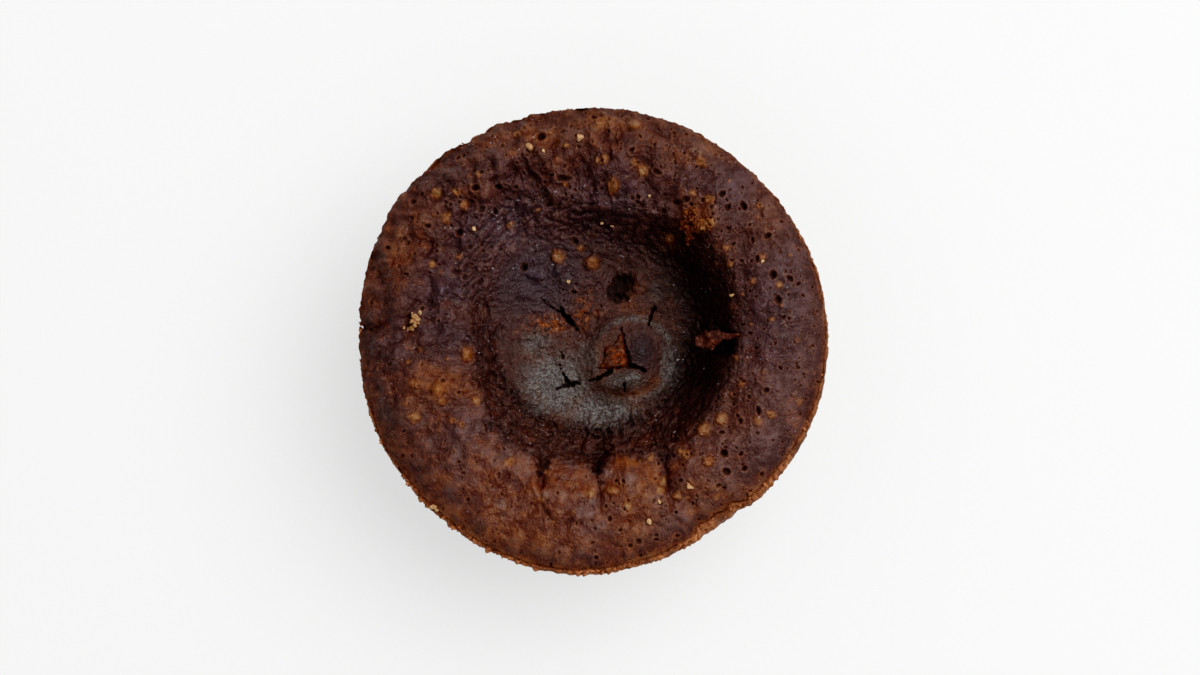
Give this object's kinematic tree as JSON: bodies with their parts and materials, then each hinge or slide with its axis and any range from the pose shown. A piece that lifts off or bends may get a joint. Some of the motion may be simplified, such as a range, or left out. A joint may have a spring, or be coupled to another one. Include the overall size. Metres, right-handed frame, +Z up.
{
  "type": "chocolate lava cake",
  "caption": "Round individual chocolate cake with a puffed rim, a sunken cracked centre and molten chocolate showing in the split.",
  "frame": {"origin": "on the table, under the middle of the cake's outline", "axes": "+Z up out of the sunken top; +X to the right and +Y away as the picture shows the cake from above"},
  "size_m": [0.076, 0.0758, 0.0324],
  "materials": {
    "chocolate_crust": "baked dark chocolate crust, satin",
    "molten_chocolate": "wet and glossy"
  },
  "bodies": {
    "root": {"cake_body": "chocolate_crust", "molten_centre": "molten_chocolate"}
  },
  "joints": []
}
